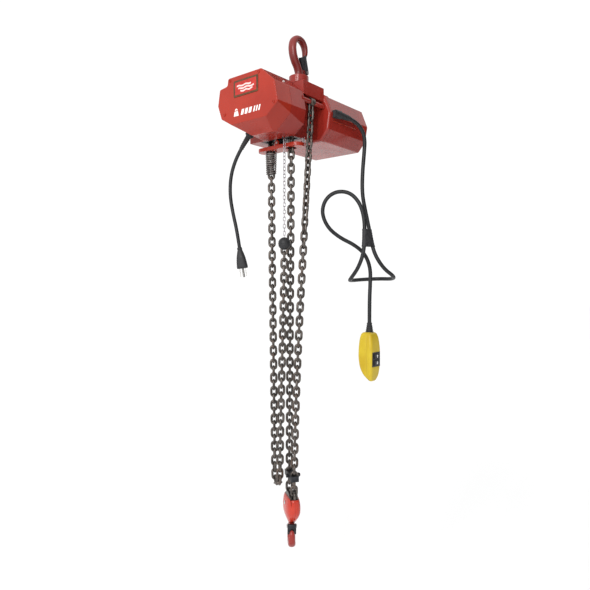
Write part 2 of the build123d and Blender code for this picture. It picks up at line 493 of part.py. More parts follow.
NODES = {
    "suspension_hook": suspension_hook, "suspension_latch": suspension_latch,
    "suspension_rivet": suspension_rivet, "hook_nut": hook_nut,
    "front_cover": front_cover, "centre_frame": centre_frame, "gear_plate": gear_plate,
    "motor_housing": motor_housing, "end_cover": end_cover,
    "load_wheel": load_wheel, "wheel_shaft": wheel_shaft, "drive_gear": drive_gear,
    "intermediate_gear": intermediate_gear, "pinion_shaft": pinion_shaft,
    "motor_shaft": motor_shaft, "rotor_core": rotor_core, "cooling_fan": cooling_fan,
    "brake_disc": brake_disc, "brake_armature": brake_armature, "brake_coil": brake_coil,
    "stator": stator_core, "bearings": bearings, "contactor": contactor,
    "chain_guide": chain_guide, "rocker_pin": rocker_pin, "limit_rocker": limit_rocker,
    "limit_spring": limit_spring, "limit_switch": limit_switch, "anchor_pin": anchor_pin,
    "block_shell_near": block_shell_near, "block_shell_far": block_shell_far, "block_sheave": block_sheave,
    "sheave_pin": sheave_pin, "striker_clamp": striker_clamp, "striker_bolt": striker_bolt,
    "lower_hook": lower_hook, "lower_latch": lower_latch, "lower_rivet": lower_rivet,
    "load_falls": Compound(children=[live_fall, dead_fall]), "wheel_chain": wheel_chain,
    "sheave_chain": sheave_chain,
    "slack_fall": slack_fall, "slack_return": slack_return, "slack_bight": slack_bight,
    "ball_stop": ball_stop, "keeper_chain": keeper_chain + keeper_eye,
    "power_gland": power_gland, "power_cord": power_cord, "power_plug": power_plug,
    "plug_blades": plug_blades,
    "control_grip": control_grip, "control_cord": control_cord, "pendant_relief": pendant_relief,
    "pendant_front": pendant_front, "pendant_back": pendant_back, "switch_plate": switch_plate,
    "up_button": buttons["up_button"], "down_button": buttons["down_button"],
    "nameplate": nameplate, "cover_screws": cover_screws,
}
for name, shape in NODES.items():
    export_step(shape, f"parts/{name}.step")
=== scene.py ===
import json
import math

import bmesh
import bpy
from mathutils import Matrix, Vector
from mathutils.bvhtree import BVHTree
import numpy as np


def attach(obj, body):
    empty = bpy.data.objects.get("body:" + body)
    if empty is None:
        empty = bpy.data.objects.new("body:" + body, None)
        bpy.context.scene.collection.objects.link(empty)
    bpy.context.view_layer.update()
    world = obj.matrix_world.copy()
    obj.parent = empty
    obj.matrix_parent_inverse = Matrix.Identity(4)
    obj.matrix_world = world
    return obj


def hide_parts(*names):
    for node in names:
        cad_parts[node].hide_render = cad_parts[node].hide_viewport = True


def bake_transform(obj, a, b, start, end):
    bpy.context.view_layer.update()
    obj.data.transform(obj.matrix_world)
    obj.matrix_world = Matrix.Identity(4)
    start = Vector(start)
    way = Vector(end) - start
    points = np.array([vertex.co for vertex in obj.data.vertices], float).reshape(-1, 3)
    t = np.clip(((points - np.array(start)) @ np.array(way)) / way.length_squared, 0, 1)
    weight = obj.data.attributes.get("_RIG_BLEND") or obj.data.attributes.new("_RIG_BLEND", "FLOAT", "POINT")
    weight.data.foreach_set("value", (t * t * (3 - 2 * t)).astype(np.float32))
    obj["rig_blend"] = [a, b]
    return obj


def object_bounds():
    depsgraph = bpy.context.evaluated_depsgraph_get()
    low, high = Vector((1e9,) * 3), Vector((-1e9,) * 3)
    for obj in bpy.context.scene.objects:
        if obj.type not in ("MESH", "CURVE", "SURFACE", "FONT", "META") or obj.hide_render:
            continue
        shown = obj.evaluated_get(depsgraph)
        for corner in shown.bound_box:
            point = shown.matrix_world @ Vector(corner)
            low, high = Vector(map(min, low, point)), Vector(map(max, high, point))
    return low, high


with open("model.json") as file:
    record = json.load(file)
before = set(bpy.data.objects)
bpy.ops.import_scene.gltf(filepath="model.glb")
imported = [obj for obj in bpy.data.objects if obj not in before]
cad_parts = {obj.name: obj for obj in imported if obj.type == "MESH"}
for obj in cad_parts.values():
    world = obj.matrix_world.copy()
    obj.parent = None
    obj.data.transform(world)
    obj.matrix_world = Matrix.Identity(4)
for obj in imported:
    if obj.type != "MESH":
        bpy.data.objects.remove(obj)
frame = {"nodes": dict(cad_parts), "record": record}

CAD_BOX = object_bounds()
MM = 0.001

# ---- the hoist's own places, in millimetres ----------------------------------------------------------
FRONT_Y = -110.0
WHEEL = Vector((-50, 0, -150))
WHEEL_R, SHEAVE_R = 29.095, 19.785
BLOCK = Vector((-20, 0, -984))
BLOCK_TURN = math.radians(-35)
HOOK_TURN = math.radians(-48)
ANCHOR = Vector((27, 8, -132))
SLACK_TOP = Vector((-20, -24, -434))
LOOP_START, LOOP_END = Vector((-66, -3, -930)), Vector((-36, -20, -930))
BALL, BALL_R = Vector((-20, -24, -430)), 13.3
CHAIN_WIRE, CHAIN_PITCH, CHAIN_WIDTH = 5.4, 15.0, 16.8
PENDANT = Vector((62, 182, -604))
PENDANT_TOP = -626.0

KEEPER_WIRE, KEEPER_PITCH, KEEPER_WIDTH = 1.5, 7.6, 6.6
KEEPER_TOP_Z = -207.0
TAPE_TOP, TAPE_LENGTH, TAPE_ROWS = -390, 40, 15
SPRING_TOP, SPRING_BOTTOM = -224.6, -273.4
BODY_UNDERSIDE, PLATE_TOP = -203.2, -216.2
SWITCH_Z = PENDANT_TOP - 61.5
SWITCH_X = PENDANT.x + 18.0
HOOK_CHEEK, CHEEK_THICK = 7.7, 1.6
CAVITY_R, GAP_HALF, SLOT_REACH = 29.0, 9.0, 19.6
MARK_BOTTOM, MARK_TOP, MARK_SLANT = -169, -158, 3.4
RING_X, RING_Z = -77, -156.6
COVER_SCREWS = ((-96, -92), (-14, -92), (26, -160), (-112, -160))
RIB_HEIGHTS, RIB_Y0, RIB_Y1 = (-150.5, -161.5), 67, 150
X_AXIS, Y_AXIS, Z_AXIS = Vector((1, 0, 0)), Vector((0, 1, 0)), Vector((0, 0, 1))
OUTWARD = Vector((0.770, 0.637, 0))   # the level direction that the hanging links' axes turn to

POWER_ROUTE = [(-108, -48, -200), (-121, -51, -217), (-137, -55, -244), (-149, -57, -278),
               (-152, -56, -318), (-148, -51, -357), (-140, -46, -397), (-136, -42, -435)]
CONTROL_ROUTE = [(52, 78, -148), (56, 100, -149), (59, 124, -152), (62, 147, -162), (62, 163, -183),
                 (58, 166, -214), (55, 163, -262), (55, 162, -310), (59, 170, -349), (65, 175, -386),
                 (70, 177, -418), (79, 179, -450), (95, 192, -481), (105, 221, -498), (85, 249, -503),
                 (46, 248, -502), (16, 219, -504), (6, 183, -507), (27, 155, -504), (50, 152, -480),
                 (62, 157, -446), (64, 159, -405), (63, 158, -362), (53, 153, -328), (34, 141, -305),
                 (8, 123, -303), (-12, 110, -321), (-20, 107, -352), (-10, 118, -386), (11, 138, -409),
                 (34, 160, -424), (52, 179, -445), (61, 188, -478), (61, 187, -515), (62, 182, -552),
                 (62, 182, -604)]


# ---- materials ---------------------------------------------------------------------------------------
def graph(name):
    material = bpy.data.materials.new(name)
    material.use_nodes = True
    nodes = material.node_tree.nodes
    shader = nodes["Principled BSDF"]
    where = nodes.new("ShaderNodeTexCoord").outputs["Object"]
    return material, nodes, material.node_tree.links, shader, where


def noise(nodes, links, where, scale, detail=3.0, stretch=None):
    """The grey value of a noise of that scale, in cycles per metre."""
    texture = nodes.new("ShaderNodeTexNoise")
    texture.inputs["Scale"].default_value = scale
    texture.inputs["Detail"].default_value = detail
    source = where
    if stretch:
        mapping = nodes.new("ShaderNodeMapping")
        mapping.inputs["Scale"].default_value = stretch
        links.new(where, mapping.inputs["Vector"])
        source = mapping.outputs["Vector"]
    links.new(source, texture.inputs["Vector"])
    return texture.outputs["Fac"]


def ramp(nodes, links, source, stops):
    """Colours at places along a grey value: (place, colour) pairs."""
    node = nodes.new("ShaderNodeValToRGB")
    elements = node.color_ramp.elements
    while len(elements) < len(stops):
        elements.new(0.5)
    for element, (place, colour) in zip(elements, stops):
        element.position = place
        element.color = (*colour, 1)
    links.new(source, node.inputs["Fac"])
    return node.outputs["Color"]


def spread(nodes, links, source, low, high, start=0.3, end=0.7):
    node = nodes.new("ShaderNodeMapRange")
    node.inputs["From Min"].default_value = start
    node.inputs["From Max"].default_value = end
    node.inputs["To Min"].default_value = low
    node.inputs["To Max"].default_value = high
    links.new(source, node.inputs["Value"])
    return node.outputs["Result"]


def mix(nodes, links, factor, first, second):
    """First where the factor is 0, second where it is 1."""
    node = nodes.new("ShaderNodeMix")
    node.data_type = "RGBA"
    links.new(factor, node.inputs["Factor"])
    for socket, value in ((node.inputs[6], first), (node.inputs[7], second)):
        if isinstance(value, tuple):
            socket.default_value = (*value, 1)
        else:
            links.new(value, socket)
    return node.outputs[2]


def bump(nodes, links, shader, source, depth_mm):
    node = nodes.new("ShaderNodeBump")
    node.inputs["Strength"].default_value = 1.0
    node.inputs["Distance"].default_value = depth_mm * MM
    links.new(source, node.inputs["Height"])
    links.new(node.outputs["Normal"], shader.inputs["Normal"])


def enamel(name, colour, shade, rough=(0.16, 0.30), gloss=0.25, cast=0.0):
    """Sprayed gloss enamel: slow colour drift, orange peel, dull rubs and specks of dust."""
    material, nodes, links, shader, where = graph(name)
    drift = noise(nodes, links, where, 14, 4)
    base = ramp(nodes, links, drift, [(0.30, shade), (0.62, colour)])
    dust = noise(nodes, links, where, 95, 6)
    specks = ramp(nodes, links, dust, [(0.66, (0, 0, 0)), (0.80, (0.22, 0.22, 0.22))])
    dusty = tuple(c * 0.35 + 0.05 for c in colour)
    links.new(mix(nodes, links, specks, base, dusty), shader.inputs["Base Color"])
    rubs = noise(nodes, links, where, 40, 5, (1, 1, 0.35))
    links.new(spread(nodes, links, rubs, *rough), shader.inputs["Roughness"])
    shader.inputs["Specular IOR Level"].default_value = gloss
    peel = noise(nodes, links, where, 620 if not cast else 260, 2)
    bump(nodes, links, shader, peel, 0.05 if not cast else cast)
    return material


def steel(name, colour, shade, metal=1.0, rough=(0.28, 0.5), grain=900, stain=None, depth=0.02):
    """Bare or oiled steel: fine grain, patches of scale and, if asked, a stain."""
    material, nodes, links, shader, where = graph(name)
    patches = noise(nodes, links, where, 120, 6)
    base = ramp(nodes, links, patches, [(0.35, shade), (0.60, colour)])
    if stain:
        spots = noise(nodes, links, where, 45, 8)
        mask = ramp(nodes, links, spots, [(0.56, (0, 0, 0)), (0.72, (0.6, 0.6, 0.6))])
        base = mix(nodes, links, mask, base, stain)
    links.new(base, shader.inputs["Base Color"])
    shader.inputs["Metallic"].default_value = metal
    links.new(spread(nodes, links, patches, *rough), shader.inputs["Roughness"])
    bump(nodes, links, shader, noise(nodes, links, where, grain, 3), depth)
    return material


def moulded(name, colour, shade, rough=(0.38, 0.55), grain=1400, depth=0.03, patch=60, metal=0.0, scuff=None):
    """Moulded plastic or rubber: spark-eroded grain, handling marks."""
    material, nodes, links, shader, where = graph(name)
    patches = noise(nodes, links, where, patch, 5)
    base = ramp(nodes, links, patches, [(0.32, shade), (0.64, colour)])
    if scuff:
        marks = noise(nodes, links, where, 210, 8)
        mask = ramp(nodes, links, marks, [(0.62, (0, 0, 0)), (0.74, (0.5, 0.5, 0.5))])
        base = mix(nodes, links, mask, base, scuff)
    links.new(base, shader.inputs["Base Color"])
    shader.inputs["Metallic"].default_value = metal
    shader.inputs["Specular IOR Level"].default_value = 0.3
    links.new(spread(nodes, links, patches, *rough), shader.inputs["Roughness"])
    bump(nodes, links, shader, noise(nodes, links, where, grain, 2), depth)
    return material


RED = enamel("red_enamel", (0.32, 0.024, 0.011), (0.275, 0.019, 0.009), gloss=0.32)
# red enamel for the frame, motor, end cover and the other red parts given it; its colour is set darker than the
# front cover's red as painted shade
RED_CAST_PAINTED_SHADE = enamel("red_enamel_on_casting_painted_shade", (0.27, 0.020, 0.013), (0.21, 0.015, 0.010), (0.18, 0.32), 0.42, 0.12)
RED_FORGED = enamel("red_enamel_on_forging", (0.17, 0.018, 0.015), (0.11, 0.012, 0.011), (0.24, 0.42), 0.4,
                    0.18)
BLOCK_RED = enamel("red_enamel_on_block", (0.46, 0.032, 0.014), (0.40, 0.024, 0.011), (0.12, 0.24), 0.4, 0.08)
CHAIN = steel("chain_steel", (0.13, 0.112, 0.10), (0.05, 0.043, 0.039), 0.8, (0.28, 0.46), 1200,
              (0.11, 0.065, 0.045))
KEEPER = steel("zinc_chain", (0.46, 0.43, 0.45), (0.28, 0.26, 0.27), 0.95, (0.30, 0.45), 1500)
BLACK_STEEL = steel("blackened_steel", (0.035, 0.037, 0.042), (0.015, 0.016, 0.018), 0.7, (0.32, 0.5), 1100)
BRIGHT = steel("turned_steel", (0.56, 0.55, 0.54), (0.40, 0.39, 0.38), 1.0, (0.20, 0.34), 1600, None, 0.01)
GEAR_STEEL = steel("oiled_gear_steel", (0.20, 0.19, 0.18), (0.09, 0.085, 0.08), 0.95, (0.25, 0.4), 1300,
                   (0.12, 0.08, 0.04))
SPRING_STEEL = steel("spring_steel", (0.24, 0.22, 0.21), (0.11, 0.10, 0.095), 0.9, (0.3, 0.45), 1500)
ALUMINIUM = steel("cast_aluminium", (0.60, 0.60, 0.61), (0.46, 0.46, 0.47), 0.95, (0.38, 0.55), 500, None, 0.08)
CORE = steel("laminated_core", (0.22, 0.17, 0.14), (0.13, 0.11, 0.10), 0.6, (0.5, 0.7), 700, None, 0.05)
BLADES = steel("nickel_plated_brass", (0.42, 0.41, 0.39), (0.30, 0.29, 0.27), 1.0, (0.2, 0.34), 1500, None,
               0.01)
RUBBER = moulded("black_rubber", (0.022, 0.022, 0.024), (0.012, 0.012, 0.013), (0.42, 0.62), 1100, 0.05, 80,
                 0.0, (0.05, 0.05, 0.052))
CORD = moulded("cord_jacket", (0.016, 0.017, 0.019), (0.009, 0.009, 0.010), (0.34, 0.5), 1600, 0.03, 50)
TAPE = moulded("cloth_tape", (0.03, 0.03, 0.033), (0.016, 0.016, 0.018), (0.45, 0.65), 700, 0.10, 120)
YELLOW = moulded("yellow_plastic", (0.54, 0.40, 0.022), (0.47, 0.32, 0.016), (0.34, 0.48), 900, 0.05, 26, 0.0,
                 (0.36, 0.25, 0.03))
BLACK_PLASTIC = moulded("black_plastic", (0.018, 0.018, 0.021), (0.010, 0.010, 0.012), (0.30, 0.45), 1500, 0.02)
WHITE_INK = moulded("white_ink", (0.83, 0.82, 0.80), (0.70, 0.69, 0.66), (0.4, 0.55), 800, 0.01, 300)
GOLD_INK = moulded("olive_gold_trim", (0.13, 0.062, 0.03), (0.08, 0.04, 0.022), (0.3, 0.45), 1200, 0.01, 200,
                   0.5)
FIELD_INK = moulded("plate_field", (0.42, 0.026, 0.018), (0.32, 0.018, 0.014), (0.25, 0.4), 900, 0.01, 150)
PINK_INK = moulded("plate_emblem", (0.78, 0.60, 0.58), (0.62, 0.42, 0.40), (0.3, 0.45), 900, 0.01, 260)


# ---- building blocks ---------------------------------------------------------------------------------
def piece(name, mesh, body, material, stands_for=(), sharp=35):
    """A finished mesh as a piece of the object."""
    obj = bpy.data.objects.new(name, mesh)
    bpy.context.scene.collection.objects.link(obj)
    mesh.materials.clear()
    mesh.materials.append(material)
    for face in mesh.polygons:
        face.use_smooth = True
    if sharp:
        mesh.set_sharp_from_angle(angle=math.radians(sharp))
    if body:
        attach(obj, body)
    if stands_for:
        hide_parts(*stands_for)
    return obj


def to_mesh(name, points, faces):
    """A mesh from points in millimetres."""
    mesh = bpy.data.meshes.new(name)
    mesh.from_pydata([tuple(Vector(p) * MM) for p in points], [], faces)
    mesh.update()
    return mesh


def tidy(mesh):
    """Merges doubled points and turns the faces outwards."""
    work = bmesh.new()
    work.from_mesh(mesh)
    bmesh.ops.remove_doubles(work, verts=work.verts, dist=1e-6)
    bmesh.ops.recalc_face_normals(work, faces=work.faces)
    work.to_mesh(mesh)
    work.free()
    return mesh


def merge(name, parts):
    """One mesh out of (points, faces) parts."""
    points, faces = [], []
    for part_points, part_faces in parts:
        start = len(points)
        points += part_points
        faces += [tuple(start + i for i in face) for face in part_faces]
    return tidy(to_mesh(name, points, faces))


def rings_to_part(rings, closed=False):
    """Joins rings with the same number of points; closed makes a loop, otherwise the ends are capped."""
    count, sides = len(rings), len(rings[0])
    faces = []
    for i in range(count if closed else count - 1):
        a, b = i * sides, (i + 1) % count * sides
        faces += [(a + j, a + (j + 1) % sides, b + (j + 1) % sides, b + j) for j in range(sides)]
    if not closed:
        faces.append(tuple(reversed(range(sides))))
        faces.append(tuple((count - 1) * sides + j for j in range(sides)))
    return [p for ring in rings for p in ring], faces


def oval(half_a, half_b, sides=24, power=2.0):
    """A superellipse; a power over 2 squares it up."""
    out = []
    for k in range(sides):
        a = 2 * math.pi * k / sides
        c, s = math.cos(a), math.sin(a)
        out.append((half_a * math.copysign(abs(c) ** (2 / power), c),
                    half_b * math.copysign(abs(s) ** (2 / power), s)))
    return out


def ring_at(centre, first, second, outline):
    return [centre + first * a + second * b for a, b in outline]


def smooth_line(stations, per_run):
    """A Catmull-Rom line through stations of any number of values."""
    out = []
    last = len(stations) - 1
    for i in range(last):
        p = [stations[min(max(i + k, 0), last)] for k in (-1, 0, 1, 2)]
        for step in range(per_run):
            t = step / per_run
            out.append([0.5 * (2 * b + (c - a) * t + (2 * a - 5 * b + 4 * c - d) * t * t
                               + (3 * b - a - 3 * c + d) * t ** 3) for a, b, c, d in zip(*p)])
    out.append(list(stations[-1]))
    return out


def lathe(profile, centre, axis, sides=32):
    """A turned part: (distance along the axis, radius) pairs."""
    axis = Vector(axis).normalized()
    first = axis.orthogonal().normalized()
    second = axis.cross(first)
    rings = [ring_at(Vector(centre) + axis * h, first, second, oval(r, r, sides)) for h, r in profile]
    return rings_to_part(rings)


def slab(corners, normal, thick):
    """A flat plate: its outline's corners, raised by thick along normal."""
    normal = Vector(normal)
    low = [Vector(c) for c in corners]
    return rings_to_part([low, [c + normal * thick for c in low]])


def modified(mesh, kind, **settings):
    """The mesh after one modifier."""
    holder = bpy.data.objects.new("work", mesh)
    bpy.context.scene.collection.objects.link(holder)
    modifier = holder.modifiers.new("work", kind)
    for key, value in settings.items():
        setattr(modifier, key, value)
    done = bpy.data.meshes.new_from_object(holder.evaluated_get(bpy.context.evaluated_depsgraph_get()))
    bpy.data.objects.remove(holder)
    return done


def cut(mesh, tool_mesh, operation="DIFFERENCE"):
    tool = bpy.data.objects.new("tool", tool_mesh)
    bpy.context.scene.collection.objects.link(tool)
    done = modified(mesh, "BOOLEAN", object=tool, operation=operation, solver="EXACT")
    bpy.data.objects.remove(tool)
    return done


def rounded(mesh, width_mm, segments=2, angle=30):
    return modified(mesh, "BEVEL", width=width_mm * MM, segments=segments, limit_method="ANGLE",
                    angle_limit=math.radians(angle), use_clamp_overlap=False, harden_normals=False)


def box_mesh(x0, x1, y0, y1, z0, z1):
    corners = [(x0, y0, z0), (x1, y0, z0), (x1, y1, z0), (x0, y1, z0)]
    return merge("box", [slab(corners, (0, 0, 1), z1 - z0)])


def cad_copy(node, flat=0.6):
    """The CAD node's mesh as a new one, with its flat faces whole."""
    work = bmesh.new()
    work.from_mesh(frame["nodes"][node].data)
    bmesh.ops.remove_doubles(work, verts=work.verts, dist=2e-6)
    bmesh.ops.dissolve_limit(work, angle_limit=math.radians(flat), verts=work.verts, edges=work.edges,
                             delimit={"NORMAL"})
    bmesh.ops.recalc_face_normals(work, faces=work.faces)
    mesh = bpy.data.meshes.new(node + "_skin")
    work.to_mesh(mesh)
    work.free()
    for name in [a.name for a in mesh.attributes if a.name == "custom_normal"]:
        mesh.attributes.remove(mesh.attributes[name])
    return mesh


def soften(node, body, material, width=0.8, segments=2, angle=30):
    """The CAD node with its edges broken, as a new piece; stray bevel corners are put back on its surface."""
    mesh = rounded(cad_copy(node), width, segments, angle)
    skin = frame["nodes"][node].data
    surface = BVHTree.FromPolygons([v.co for v in skin.vertices], [face.vertices for face in skin.polygons])
    for vertex in mesh.vertices:
        place, _, _, distance = surface.find_nearest(vertex.co)
        if distance > width * MM:
            vertex.co = place
    for face in mesh.polygons:
        face.use_smooth = True
    mesh.set_sharp_from_angle(angle=math.radians(40))
    mesh = modified(mesh, "WEIGHTED_NORMAL", keep_sharp=True, weight=100)
    return piece(node + "_skin", mesh, body, material, (node,), 0)


def route_line(points):
    """Points along a route's NURBS line, in metres."""
    curve = bpy.data.curves.new("line", "CURVE")
    curve.dimensions = "3D"
    curve.resolution_u = 24
    add_spline(curve, points)
    holder = bpy.data.objects.new("line", curve)
    bpy.context.scene.collection.objects.link(holder)
    mesh = bpy.data.meshes.new_from_object(holder.evaluated_get(bpy.context.evaluated_depsgraph_get()))
    line = [v.co.copy() for v in mesh.vertices]
    bpy.data.objects.remove(holder)
    return line


def add_spline(curve, points):
    spline = curve.splines.new("NURBS")
    spline.points.add(len(points) - 1)
    for point, place in zip(spline.points, points):
        point.co = (*(Vector(place) * MM), 1)
    spline.order_u = 3
    spline.use_endpoint_u = True


def cord_piece(name, points, diameter, body, material, stands_for):
    curve = bpy.data.curves.new(name, "CURVE")
    curve.dimensions = "3D"
    curve.resolution_u = 16
    curve.bevel_depth = diameter / 2 * MM
    curve.bevel_resolution = 6
    curve.use_fill_caps = True
    add_spline(curve, points)
    obj = bpy.data.objects.new(name, curve)
    bpy.context.scene.collection.objects.link(obj)
    curve.materials.append(material)
    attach(obj, body)
    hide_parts(stands_for)
    return obj


# ---- camera ------------------------------------------------------------------------------------------
camera_data = bpy.data.cameras.new("camera")
camera_data.sensor_width = 36
camera_data.lens = 34.35
camera = bpy.data.objects.new("camera", camera_data)
bpy.context.scene.collection.objects.link(camera)
camera.location = (0.758, -0.929, -0.522)
camera.rotation_euler = (math.radians(90), 0, math.radians(39.6))
camera_data.shift_y = -8 / 590
bpy.context.scene.camera = camera


# ---- cords -------------------------------------------------------------------------------------------
power_cord = cord_piece("power_cord_line", POWER_ROUTE, 8.0, "hoist", CORD, "power_cord")
control_cord = cord_piece("control_cord_line", CONTROL_ROUTE, 9.0, "hoist", CORD,
                          "control_cord")


def boot(name, line, stations, stands_for=()):
    """A tapered, ringed strain relief: (distance along the line in mm, radius) stations."""
    origin = line[0] / MM
    heading = (line[2] - line[0]).normalized()
    rings = []
    for distance, radius in stations:
        if distance <= 0:
            centre, along = origin + heading * distance, heading
        else:
            left, i = distance * MM, 0
            while (line[i + 1] - line[i]).length < left:
                left -= (line[i + 1] - line[i]).length
                i += 1
            along = (line[i + 1] - line[i]).normalized()
            centre = (line[i] + along * left) / MM
        first = along.cross(Z_AXIS).normalized()
        rings.append(ring_at(centre, first, along.cross(first), oval(radius, radius, 28)))
    piece(name, merge(name, [rings_to_part(rings)]), "hoist", RUBBER, stands_for, 40)


power_line, control_line = route_line(POWER_ROUTE), route_line(CONTROL_ROUTE)
gland_stations = [(-22, 9.2), (-10, 9.4), (-9, 9.0), (-8.5, 7.6)]
for k in range(7):
    gland_stations += [(-7 + 4.6 * k, 6.3 - 0.24 * k), (-5.2 + 4.6 * k, 6.3 - 0.24 * k),
                       (-4.9 + 4.6 * k, 5.6 - 0.2 * k), (-3.2 + 4.6 * k, 5.5 - 0.2 * k)]
boot("power_gland_boot", power_line, gland_stations, ("power_gland",))
grip_stations = [(-15, 8.6), (-2, 9.0), (0, 8.8), (1, 7.6)]
for k in range(6):
    grip_stations += [(2 + 5 * k, 7.5 - 0.35 * k), (4.2 + 5 * k, 7.5 - 0.35 * k), (4.6 + 5 * k, 6.6 - 0.28 * k),
                      (6.6 + 5 * k, 6.5 - 0.28 * k)]
boot("control_boot", control_line, grip_stations)
soften("control_grip", "hoist", RUBBER, 1.0)

# mains plug: collar, a bell that swells from the cord, shallow finger grooves
plug_start = Vector(POWER_ROUTE[-1])
plug_axis = (plug_start - Vector(POWER_ROUTE[-2])).normalized()
plug_side = Vector((0.77, 0.64, 0))
plug_first = (plug_side - plug_axis * plug_side.dot(plug_axis)).normalized()
plug_second = plug_axis.cross(plug_first)
plug_keys = [(-1, 4.8, 4.8, 2), (0, 5.6, 5.6, 2), (3.4, 5.7, 5.7, 2), (4.2, 5.3, 5.3, 2)]
for z in range(5, 46, 2):
    share = (z - 5) / 38
    swell = math.sin(math.pi / 2 * min(1.0, share)) ** 0.9
    half = 5.4 + 6.7 * swell
    groove = 0.35 if 22 < z < 38 and z % 4 == 1 else 0.0
    plug_keys.append((z, half - groove, 5.3 + 4.2 * swell - groove, 2 + 1.2 * swell))
plug_keys += [(45.4, 11.8, 9.2, 3.2), (46, 11.0, 8.4, 3.2)]
plug_rings = [ring_at(plug_start + plug_axis * z, plug_first, plug_second, oval(a, b, 36, power))
              for z, a, b, power in plug_keys]
piece("plug_body", merge("plug_body", [rings_to_part(plug_rings)]), "hoist", RUBBER,
      ("power_plug",), 40)


# tape round the two strands of the pendant cord
def strand_points(z_mm, low_index, high_index):
    """Where the control cord crosses a height between two of its line's points."""
    z = z_mm * MM
    for a, b in zip(control_line[low_index:high_index], control_line[low_index + 1:high_index + 1]):
        if (a.z - z) * (b.z - z) <= 0 and a.z != b.z:
            return (a + (b - a) * ((z - a.z) / (b.z - a.z))) / MM
    raise ValueError(f"no crossing at {z_mm}")


def hull_ring(centres, radius, z_mm, sides=40):
    """A loop at one height round several strands."""
    middle = sum((Vector((c.x, c.y, 0)) for c in centres), Vector()) / len(centres)
    out = []
    for k in range(sides):
        a = 2 * math.pi * k / sides
        heading = Vector((math.cos(a), math.sin(a), 0))
        reach = max((Vector((c.x, c.y, 0)) - middle).dot(heading) for c in centres) + radius
        out.append((heading, reach))
    ring = []
    for k, (heading, reach) in enumerate(out):
        ahead, ahead_reach = out[(k + 1) % sides]
        turn = heading.cross(ahead).z
        corner = Vector((reach * ahead.y - ahead_reach * heading.y,
                         ahead_reach * heading.x - reach * ahead.x, 0)) / turn
        ring.append(Vector((middle.x + corner.x, middle.y + corner.y, z_mm)))
    return ring


line_count = len(control_line)
tape_rings = []
for k in range(TAPE_ROWS):
    z = TAPE_TOP - TAPE_LENGTH * k / (TAPE_ROWS - 1)
    near = strand_points(z, int(line_count * 0.20), int(line_count * 0.36))
    far = strand_points(z, int(line_count * 0.50), int(line_count * 0.66))
    swell = 5.3 + 0.35 * (k % 2) + (0.5 if k in (0, TAPE_ROWS - 1) else 0)
    tape_rings.append(hull_ring([near, far], swell, z))
tape_mesh = merge("cord_tape", [rings_to_part(tape_rings)])
cord_tape = piece("cord_tape", tape_mesh, "hoist", TAPE, (), 50)


# ---- chains ------------------------------------------------------------------------------------------
def link_part(wire, pitch, width, arc_steps=8, sides=10):
    """One link round the origin: long along X, wide along Y."""
    half_width = (width - wire) / 2
    half_run = (pitch + wire) / 2 - half_width
    rings = []
    for end in (1, -1):
        for k in range(arc_steps + 1):
            a = math.pi * (k / arc_steps - 0.5)
            outward = Vector((math.cos(a) * end, math.sin(a) * end, 0))
            centre = Vector((half_run * end, 0, 0)) + outward * half_width
            rings.append(ring_at(centre, outward, Vector((0, 0, 1)), oval(wire / 2, wire / 2, sides)))
    return rings_to_part(rings, closed=True)


def path_frames(segments):
    """Points along joined segments, in mm: (label, points, [(share of the run, link axis), ...])."""
    out = []
    for label, points, keys in segments:
        lengths = [0.0]
        for a, b in zip(points, points[1:]):
            lengths.append(lengths[-1] + (b - a).length)
        for point, run in zip(points, lengths):
            share = run / lengths[-1]
            axis = keys[-1][1]
            for (s0, axis0), (s1, axis1) in zip(keys, keys[1:]):
                if s0 <= share <= s1:
                    t = (share - s0) / (s1 - s0)
                    axis = axis0.lerp(axis1, t * t * (3 - 2 * t))
                    break
            out.append((label, point, axis))
    return out


def chain_links(frames, pitch, first_centre, template):
    """Links each a pitch apart, every other one turned a quarter: {label: [parts]}."""
    runs = [0.0]
    for (_, a, _), (_, b, _) in zip(frames, frames[1:]):
        runs.append(runs[-1] + (b - a).length)

    def at(distance):
        i = next((k for k in range(1, len(runs)) if runs[k] >= distance and runs[k] > runs[k - 1]),
                 len(runs) - 1)
        share = min(1.0, max(0.0, (distance - runs[i - 1]) / max(runs[i] - runs[i - 1], 1e-9)))
        (_, point0, axis0), (label, point1, axis1) = frames[i - 1], frames[i]
        return label, point0.lerp(point1, share), axis0.lerp(axis1, share)

    links, count, distance = {}, 0, first_centre
    while distance + pitch / 2 <= runs[-1]:
        label, _, axis = at(distance)
        start, end = at(max(0.0, distance - pitch / 2))[1], at(distance + pitch / 2)[1]
        along = (end - start).normalized()
        across = (axis - along * axis.dot(along)).normalized()
        if count % 2:
            across = along.cross(across)
        place = Matrix((along, across, along.cross(across))).transposed().to_4x4()
        place.translation = (start + end) / 2
        points, faces = template
        links.setdefault(label, []).append(([place @ p for p in points], faces))
        count += 1
        distance += pitch
    return links


def arc(centre, start, middle, steps=24):
    """Half a turn from start, through middle, in mm."""
    u, v = start - centre, middle - centre
    turns = [math.pi * k / steps for k in range(steps + 1)]
    return [centre + u * math.cos(a) + v * math.sin(a) for a in turns]


def falling(*points):
    return [p / MM for p in route_line(points)]


